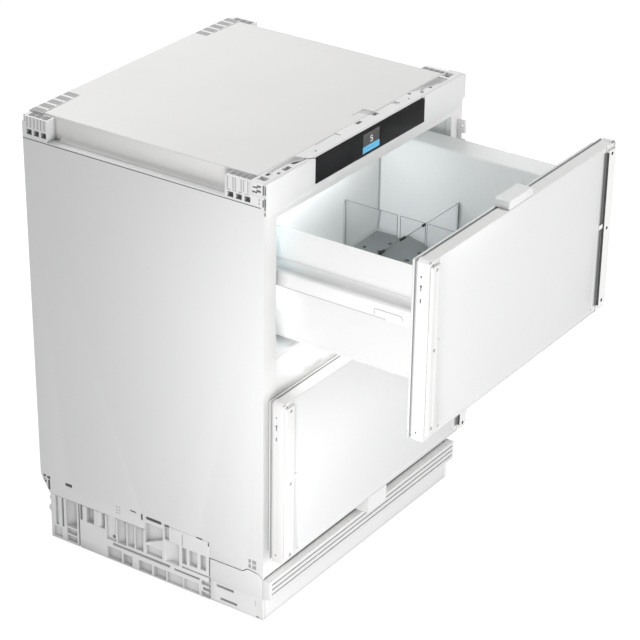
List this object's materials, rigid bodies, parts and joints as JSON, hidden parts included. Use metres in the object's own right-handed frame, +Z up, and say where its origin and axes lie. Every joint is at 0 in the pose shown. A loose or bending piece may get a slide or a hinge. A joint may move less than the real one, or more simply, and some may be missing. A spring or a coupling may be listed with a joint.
{
  "type": "undercounter drawer refrigerator",
  "caption": "White built-in undercounter refrigerator with pull-out drawers, touch display strip, ribbed plinth sides and a vent grille; the upper drawer stands open.",
  "frame": {"origin": "on the floor, at mid width, in the plane of the front frame", "axes": "+X to the right seen from the front, -Y the way the drawers open, +Z up"},
  "size_m": [0.597, 0.8074, 0.82],
  "materials": {
    "painted_steel": "satin",
    "zinc_steel": "satin",
    "lid_plastic": "satin",
    "white_plastic": "satin",
    "front_plastic": "satin",
    "liner_plastic": "satin",
    "foam": "matte",
    "black_glass": "gloss",
    "display": "gloss",
    "grey_plastic": "matte",
    "black_steel": "satin",
    "coil_steel": "satin",
    "aluminium_fin": "satin",
    "black_plastic": "matte",
    "rail_steel": "satin",
    "seal": "matte",
    "mat_grey": "matte",
    "clear_plastic": "gloss",
    "lamp_lens": "gloss"
  },
  "bodies": {
    "cabinet": {"left_side_panel": "painted_steel", "right_side_panel": "painted_steel", "back_panel": "zinc_steel", "top_plate": "lid_plastic", "top_corner_blocks": "white_plastic", "cabinet_foam": "foam", "upper_liner": "liner_plastic", "lower_liner": "liner_plastic", "front_frame": "white_plastic", "mullion": "white_plastic", "control_fascia": "white_plastic", "display_glass": "black_glass", "display_module": "display", "top_trim": "white_plastic", "left_base_side": "white_plastic", "right_base_side": "white_plastic", "plinth_blocks": "white_plastic", "base_tray": "zinc_steel", "plinth_panel": "white_plastic", "vent_grille": "white_plastic", "compressor": "black_steel", "condenser": "coil_steel", "condenser_fan_frame": "grey_plastic", "evaporation_tray": "grey_plastic", "mains_inlet": "black_plastic", "evaporator": "aluminium_fin", "evaporator_cover": "liner_plastic", "led_lamp": "lamp_lens", "drawer_catches": "white_plastic", "roller_axles": "rail_steel", "fixed_rails": "white_plastic"},
    "upper_drawer": {"upper_front_frame": "front_plastic", "upper_front_plate": "painted_steel", "upper_front_liner": "liner_plastic", "upper_gasket": "seal", "upper_furniture_rails": "white_plastic", "upper_centre_tab": "white_plastic", "upper_drawer_tub": "liner_plastic", "upper_drawer_rails": "white_plastic", "upper_floor_mat": "mat_grey", "long_divider": "clear_plastic"},
    "lower_drawer": {"lower_front_frame": "front_plastic", "lower_front_plate": "painted_steel", "lower_front_liner": "liner_plastic", "lower_gasket": "seal", "lower_furniture_rails": "white_plastic", "lower_centre_tab": "white_plastic", "lower_drawer_tub": "liner_plastic", "lower_drawer_rails": "white_plastic", "lower_floor_mat": "mat_grey"},
    "cross_divider": {"cross_divider": "clear_plastic", "divider_clips": "black_plastic"},
    "upper_mid_rails": {"upper_mid_rails": "rail_steel"},
    "lower_mid_rails": {"lower_mid_rails": "rail_steel"},
    "condenser_fan": {"condenser_fan_rotor": "black_plastic"},
    "evaporator_fan": {"evaporator_fan_rotor": "white_plastic"},
    "left_front_foot": {"left_front_foot": "grey_plastic"},
    "right_front_foot": {"right_front_foot": "grey_plastic"},
    "left_rear_roller": {"left_rear_roller": "white_plastic"},
    "right_rear_roller": {"right_rear_roller": "white_plastic"}
  },
  "joints": [
    {"name": "upper_drawer_slide", "type": "slide", "parent": "cabinet", "child": "upper_drawer", "axis": [0, -1, 0], "range_m": [-0.267, 0.133]},
    {"name": "lower_drawer_slide", "type": "slide", "parent": "cabinet", "child": "lower_drawer", "axis": [0, -1, 0], "range_m": [0, 0.4]},
    {"name": "upper_mid_rail_slide", "type": "slide", "parent": "cabinet", "child": "upper_mid_rails", "axis": [0, -1, 0], "range_m": [-0.1335, 0.0665]},
    {"name": "lower_mid_rail_slide", "type": "slide", "parent": "cabinet", "child": "lower_mid_rails", "axis": [0, -1, 0], "range_m": [0, 0.2]},
    {"name": "cross_divider_lift", "type": "slide", "parent": "upper_drawer", "child": "cross_divider", "axis": [0, 0, 1], "range_m": [0, 0.1]},
    {"name": "condenser_fan_spin", "type": "hinge", "parent": "cabinet", "child": "condenser_fan", "pos_m": [-0.0328, 0.16, 0.065], "axis": [1, 0, 0], "continuous": true},
    {"name": "evaporator_fan_spin", "type": "hinge", "parent": "cabinet", "child": "evaporator_fan", "pos_m": [0, 0.4386, 0.69], "axis": [0, 1, 0], "continuous": true},
    {"name": "left_front_foot_screw", "type": "slide", "parent": "cabinet", "child": "left_front_foot", "axis": [0, 0, -1], "range_m": [0, 0.05]},
    {"name": "right_front_foot_screw", "type": "slide", "parent": "cabinet", "child": "right_front_foot", "axis": [0, 0, -1], "range_m": [0, 0.05]},
    {"name": "left_rear_roller_spin", "type": "hinge", "parent": "cabinet", "child": "left_rear_roller", "pos_m": [-0.2726, 0.44, 0.02], "axis": [1, 0, 0], "continuous": true},
    {"name": "right_rear_roller_spin", "type": "hinge", "parent": "cabinet", "child": "right_rear_roller", "pos_m": [0.2726, 0.44, 0.02], "axis": [1, 0, 0], "continuous": true}
  ],
  "couplings": [
    {"joint": "upper_mid_rail_slide", "follows": "upper_drawer_slide", "ratio": 0.5},
    {"joint": "lower_mid_rail_slide", "follows": "lower_drawer_slide", "ratio": 0.5}
  ]
}
